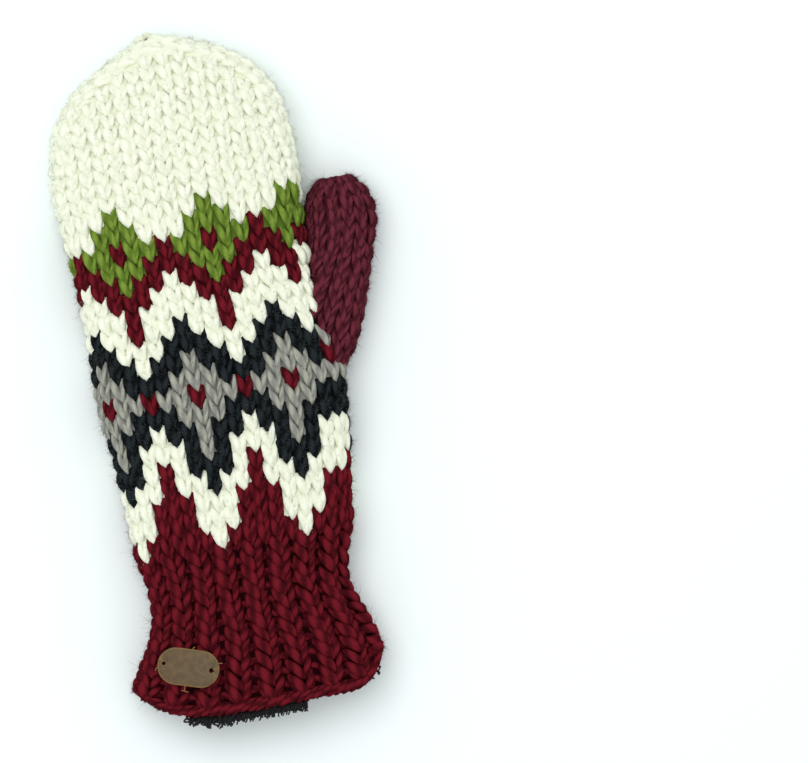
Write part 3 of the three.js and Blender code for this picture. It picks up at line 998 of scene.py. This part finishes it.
def on_label(plan, up):
    """Moves points of the label's plan, and their heights over its underside, onto the cuff."""
    cos, sin = math.cos(LABEL_TURN), math.sin(LABEL_TURN)
    where = np.asarray(plan) @ np.array([[cos, sin], [-sin, cos]]) + [LABEL_X, LABEL_Y]
    ground = face_height(1, where[:, 0], where[:, 1])
    return np.column_stack([where, ground + LABEL_CLEARANCE + up])


def label_plate():
    """The label's plate with a rounded rim and two holes, bent over the ribs."""
    plate = bmesh.new()
    rims = []
    outlines = [(0, 0, LABEL_LENGTH, LABEL_WIDTH, LABEL_STEPS, 1)]
    outlines += [(x, y, size, size, HOLE_STEPS, -HOLE_RIM) for x, y, size in LABEL_HOLES]
    for middle_x, middle_y, length, width, steps, inward in outlines:
        rings = []
        for step_in, up in LABEL_RIM:
            narrow = 2 * step_in * inward
            points = obround(length - narrow, width - narrow, steps)
            rings.append([plate.verts.new((middle_x + x, middle_y + y, up)) for x, y in points])
        for low, high in zip(rings, rings[1:]):
            for i in range(steps):
                plate.faces.new((low[i - 1], low[i], high[i], high[i - 1]))
        rims.append(rings)
    for end in (0, -1):
        edges = []
        for rings in rims:
            ring = rings[end]
            edges += [plate.edges.get((ring[i - 1], ring[i])) for i in range(len(ring))]
        bmesh.ops.triangle_fill(plate, edges=edges, use_beauty=True)
    for x in np.arange(*LABEL_CUTS):
        parts = [*plate.verts, *plate.edges, *plate.faces]
        bmesh.ops.bisect_plane(plate, geom=parts, plane_co=(x, 0, 0), plane_no=(1, 0, 0))
    bmesh.ops.recalc_face_normals(plate, faces=plate.faces)
    for face in plate.faces:
        face.smooth = True
        face.material_index = 0 if abs(face.normal.z) > FLAT_NORMAL else 1
    mesh = bpy.data.meshes.new("label_leather")
    plate.to_mesh(mesh)
    plate.free()
    mesh.set_sharp_from_angle(angle=math.radians(SHARP_ANGLE))
    flat = np.array([vertex.co for vertex in mesh.vertices])
    mesh.vertices.foreach_set("co", to_frame(on_label(flat[:, :2], flat[:, 2])).ravel())
    mesh.update()
    return add_object("label_leather", mesh)


def label_threads():
    """The label's thread: short lengths on its face and loose ends at its rim."""
    t = np.linspace(0, 1, CURL_STEPS)
    lines = []
    for start, end, start_up, end_up in LABEL_THREADS:
        plan = np.outer(1 - t, start) + np.outer(t, end)
        plan[:, 0] += THREAD_WAVE * np.sin(3 * math.pi * t)
        lines.append(on_label(plan, end_up + (start_up - end_up) * (1 - t) ** 2))
    lines = np.array(lines)
    up = np.broadcast_to([0.0, 0.0, 1.0], lines.shape)
    radius = np.full(lines.shape[:2], THREAD_RADIUS)
    return tubes("label_threads", lines, radius, up, sides=THREAD_SIDES)


def lining_bag():
    """The fleece bag, with a stall for the thumb and a softly uneven pile."""
    columns = BAG_SHELL["columns"]
    rim, _ = BODY_SKIN.at(MOUTH_Y, np.arange(columns) / columns)
    start = MOUTH_Y + np.where(peeping(rim), -PEEP, PEEP_HIDDEN)
    for _ in range(RIM_SMOOTHINGS):
        start = (np.roll(start, 1) + start * 2 + np.roll(start, -1)) / 4
    bag, _ = shell("fleece_bag", BODY_SKIN, start, BAG_END, **BAG_SHELL)
    stall, _ = shell("stall", THUMB_SKIN, *STALL_REACH, **STALL_SHELL)
    combine(bag, stall, "UNION")
    combine(bag, core(BODY_SKIN, *HAND_IN_STALL), "DIFFERENCE")
    combine(bag, core(THUMB_SKIN, *THUMB_IN_BAG), "DIFFERENCE")
    bag.data.materials.clear()
    pile = bpy.data.textures.new("pile", "CLOUDS")
    pile.noise_scale = PILE_SIZE
    uneven = bag.modifiers.new("uneven", "DISPLACE")
    uneven.texture = pile
    uneven.texture_coords = "LOCAL"
    uneven.mid_level = 1.0
    uneven.strength = PILE_DEPTH
    return bag


def peeping(points):
    """True where the fleece shows beyond the knitting: along the left part of the back."""
    x, z = points[:, 0], points[:, 2]
    return (z > PEEP_LOWEST) & (x > PEEP_FROM) & (x < PEEP_TO)


def mouth_curls():
    """Curls of the fleece around the mouth: they reach out furthest on the left part of the back."""
    left, right, top, lift = smooth_through(BODY, MOUTH_Y)[0]
    row = (left + LINING_DEPTH, right - LINING_DEPTH, top - LINING_DEPTH, lift + LINING_DEPTH)
    points = outline_at(row, MOUTH_Y)
    lengths = running(np.linalg.norm(np.diff(points, axis=0), axis=1))
    at = random.uniform(0, lengths[-1], CURLS)
    start = spaced(points, lengths, at)
    peeps = peeping(start)
    far = (start[:, 0] > FAR_FROM) & (start[:, 0] < FAR_TO) & peeps
    reach = np.where(far, random.uniform(*FAR_REACH, CURLS), random.uniform(*CURL_REACH, CURLS))
    inward = unit(((left + right) / 2, 0, top / 2) - start * (1, 0, 1))
    start += inward * random.uniform(*CURL_INWARD, CURLS)[:, None]
    start[:, 1] += np.where(peeps, 0, PEEP_HIDDEN)
    t = np.linspace(0, 1, CURL_STEPS)[None, :]
    phase = random.uniform(0, 2 * math.pi, (CURLS, 1))
    coil = random.uniform(*CURL_COIL, (CURLS, 1))
    drift = random.normal(0, CURL_DRIFT, (CURLS, 1))
    turn = phase + CURL_TURN * t
    wave = CURL_WAVE * np.sin(phase + CURL_WAVE_TURN * t)
    x = start[:, :1] + drift * t + coil * np.cos(turn)
    y = start[:, 1:2] - reach[:, None] * t + CURL_ROOT * (1 - t) + wave
    z = start[:, 2:] + coil * np.sin(turn)
    line = np.stack([x, y, z], axis=-1)
    radius = np.broadcast_to(CURL_RADIUS * (1 - CURL_TAPER * t), (CURLS, CURL_STEPS))
    up = unit(np.stack([-np.sin(turn), np.full(turn.shape, CURL_LEAN), np.cos(turn)], axis=-1))
    return tubes("fleece_curls", line, radius, up, sides=CURL_SIDES)


# Materials
def linear(hex_colour):
    """The linear colour of an sRGB colour."""
    values = [((hex_colour >> shift) & 255) / 255 for shift in (16, 8, 0)]
    return [v / 12.92 if v <= 0.04045 else ((v + 0.055) / 1.055) ** 2.4 for v in values] + [1.0]


def new_material(name, colour, roughness):
    """A material of one colour, and its shader."""
    material = bpy.data.materials.new(name)
    material.use_nodes = True
    shader = material.node_tree.nodes["Principled BSDF"]
    shader.inputs["Base Color"].default_value = linear(colour)
    shader.inputs["Roughness"].default_value = roughness
    return material, shader


def join(node, output, other, socket):
    """Links an output of a node to an input of another."""
    node.id_data.links.new(node.outputs[output], other.inputs[socket])


def add_node(material, kind, place=None, **inputs):
    """A node of a material, with some inputs set by name, and its vector from place (node, output)."""
    node = material.node_tree.nodes.new("ShaderNode" + kind)
    for name, value in inputs.items():
        node.inputs[name.replace("_", " ")].default_value = value
    if place:
        join(*place, node, "Vector")
    return node


def emboss(material, shader, node, output, strength, depth):
    """Gives a surface a fine relief from a node's output, with its depth in metres."""
    bump = add_node(material, "Bump", Strength=strength, Distance=depth)
    join(node, output, bump, "Height")
    join(bump, "Normal", shader, "Normal")


def tint_between(material, shader, node, output, limits, shade, colour):
    """Colours a surface from shade to colour, as a node's output goes between two limits."""
    spread = add_node(material, "MapRange", From_Min=limits[0], From_Max=limits[1])
    join(node, output, spread, "Value")
    tint = add_node(material, "Mix")
    tint.data_type = "RGBA"
    tint.inputs["A"].default_value = linear(shade)
    tint.inputs["B"].default_value = linear(colour)
    join(spread, "Result", tint, "Factor")
    join(tint, "Result", shader, "Base Color")


def wool(name, colour, shade, relief=WOOL_RELIEF):
    """Loosely plied wool: its plies and fibres run along the yarn, and it is darker between them: painted
    shade in the plies' grooves, and the fibres' own uneven tone.
    """
    material, shader = new_material(name, colour, WOOL_ROUGHNESS)
    shader.inputs["Specular IOR Level"].default_value = 0.0
    uv = add_node(material, "UVMap")
    uv.uv_map = "yarn"
    along = add_node(material, "Mapping", (uv, "UV"), Scale=FIBRE_SCALE)
    fibres = add_node(material, "TexNoise", (along, "Vector"), Scale=1.0,
                      Detail=FIBRE_DETAIL, Roughness=FIBRE_ROUGHNESS)
    twisted = add_node(material, "Mapping", (uv, "UV"), Scale=PLY_SCALE)
    plies = add_node(material, "TexWave", (twisted, "Vector"), Scale=1.0, Distortion=PLY_DISTORTION)
    plies.bands_direction = "DIAGONAL"
    both = add_node(material, "Math")
    both.operation = "ADD"
    join(fibres, "Fac", both, 0)
    join(plies, "Fac", both, 1)
    emboss(material, shader, both, "Value", 1.0, relief)
    # The tint is darker in the plies' grooves (painted shade) and along the fibres' streaks (their own
    # tone)
    tint_between(material, shader, both, "Value", PATTERN_RANGE, shade, colour)
    return material


def mottled(name, colour, shade, roughness, size, depth):
    """A surface with soft spots of two shades and a fine grain: size and depth in metres."""
    material, shader = new_material(name, colour, roughness)
    place = (add_node(material, "TexCoord"), "Object")
    spots = add_node(material, "TexNoise", place, Scale=1 / size,
                     Detail=SPOT_DETAIL, Roughness=SPOT_ROUGHNESS)
    grain = add_node(material, "TexVoronoi", place, Scale=GRAINS_IN_SPOT / size)
    emboss(material, shader, grain, "Distance", GRAIN_STRENGTH, depth)
    tint_between(material, shader, spots, "Fac", SPOT_RANGE, shade, colour)
    return material


WOOLS = {name: wool(name + "_yarn", *values) for name, values in WOOL_COLOURS.items()}
FIBRES = {name: wool(name + "_fibre", *values) for name, values in FIBRE_COLOURS.items()}
FLEECE = mottled("black_fleece_pile", 0x1C1D20, 0x08080A, 1.0, 0.0012, 0.0003)
LEATHER = mottled("tan_leather", 0x604A28, 0x4C391C, 0.6, 0.0025, 0.00008)
RIM = mottled("cut_rim", 0x7A5C2C, 0x5A431F, 0.7, 0.002, 0.00005)
THREAD = mottled("sewing_thread", 0xA88C54, 0x84693A, 0.8, 0.001, 0.00005)


def dressed(obj, material, replaces=()):
    """Gives a piece its material and body, and hides the nodes that it stands in for."""
    obj.data.materials.append(material)
    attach(obj, "root")
    if replaces:
        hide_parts(*replaces)
    return obj


# The wool of each piece of yarn
PIECES = {
    "knit_cream_pattern": "cream",
    "knit_cream_plain": "cream",
    "knit_red": "red",
    "knit_black": "black",
    "knit_grey": "grey",
    "knit_green": "green",
    "cuff_ribs": "red",
    "edge_chain": "red",
    "knit_thumb": "purple",
}


def make_yarns():
    """Knits the whole mitten and makes its yarn, a piece for each colour and part."""
    knit_pattern()
    knit_finger_end()
    knit_cuff()
    knit_thumb()
    knit_edge()
    for name, colour in PIECES.items():
        line, width, out = gathered([name])
        dressed(tubes(name, line, width, out, LEG_FLATNESS), WOOLS[colour])


def make_fuzz():
    """Stray fibres on all the yarn of each colour."""
    for colour, count in FUZZ.items():
        line, width, out = gathered([name for name, used in PIECES.items() if used == colour])
        dressed(fuzz("fuzz_" + colour, line, width, out, count), FIBRES[colour])


def make_shells():
    """The knitting's body behind the yarn, for the hand, cuff, thumb and edge."""
    hand, heights = shell("hand_back", BODY_SKIN, WRIST_Y, HAND_SHELL_END, **HAND_SHELL)
    dressed(hand, WOOLS["cream"], ["hand"])
    for colour in list(COLOURS.values())[1:]:
        hand.data.materials.append(WOOLS[colour])
    paint_by_chart(hand, heights, HAND_SHELL["columns"])
    combine(hand, core(THUMB_SKIN, *THUMB_IN_HAND), "DIFFERENCE")
    cuff, _ = shell("cuff_back", BODY_SKIN, EDGE_Y, WRIST_Y, **CUFF_SHELL)
    # The cuff's body gets the darker red: painted shade for its deep recesses between the ribs
    dressed(cuff, WOOLS["painted_shade_red"], ["cuff"])
    thumb, _ = shell("thumb_back", THUMB_SKIN, *THUMB_SHELL_REACH, **THUMB_SHELL)
    dressed(thumb, WOOLS["purple"], ["thumb"])
    combine(thumb, core(BODY_SKIN, *HAND_IN_THUMB), "DIFFERENCE")
    edge, _ = shell("edge_back", BODY_SKIN, *EDGE_SHELL_REACH, **EDGE_SHELL)
    dressed(edge, WOOLS["red"], ["cuff_edge"])


def make_lining():
    dressed(lining_bag(), FLEECE, ["lining"])
    dressed(mouth_curls(), FLEECE)


def make_label():
    plate = dressed(label_plate(), LEATHER, ["label"])
    plate.data.materials.append(RIM)
    dressed(label_threads(), THREAD)


# The table, light and camera
def make_floor():
    bpy.ops.mesh.primitive_plane_add(size=TABLE_SIZE, location=(0, 0, 0))
    floor = bpy.context.object
    floor.name = "table"
    floor.data.materials.append(new_material("white_table", 0xF2F9F9, 0.9)[0])


def make_light():
    """A pale sky and one soft lamp that leans from the upper left."""
    world = bpy.data.worlds.new("world")
    bpy.context.scene.world = world
    world.use_nodes = True
    background = world.node_tree.nodes["Background"]
    background.inputs["Color"].default_value = SKY_COLOUR
    background.inputs["Strength"].default_value = SKY_STRENGTH
    lamp = bpy.data.lights.new("softbox", "AREA")
    lamp.shape = "DISK"
    lamp.size = SOFTBOX_SIZE
    lamp.energy = SOFTBOX_POWER
    softbox = add_object("softbox", lamp)
    softbox.location = SOFTBOX_PLACE
    direction = -softbox.location.normalized()
    softbox.rotation_mode = "QUATERNION"
    softbox.rotation_quaternion = direction.to_track_quat("-Z", "Y")


def make_camera():
    """A camera straight above, framed as the photograph is at the height of the mitten's outline."""
    camera = bpy.data.cameras.new("camera")
    camera.sensor_width = SENSOR_WIDTH
    camera.lens = SENSOR_WIDTH * (CAMERA_HEIGHT - SILHOUETTE_HEIGHT) / PHOTO_WIDTH
    camera.clip_start, camera.clip_end = CLIP
    obj = add_object("camera", camera)
    centre = to_frame(np.array(PHOTO_CENTRE))
    obj.location = (centre[0], centre[1], CAMERA_HEIGHT)
    obj.rotation_euler = (0, 0, -math.atan2(PHOTO_UP[0], PHOTO_UP[1]))
    bpy.context.scene.camera = obj


make_yarns()
make_fuzz()
make_shells()
make_lining()
make_label()
make_floor()
make_light()
make_camera()
bpy.context.scene.view_settings.view_transform = "Standard"
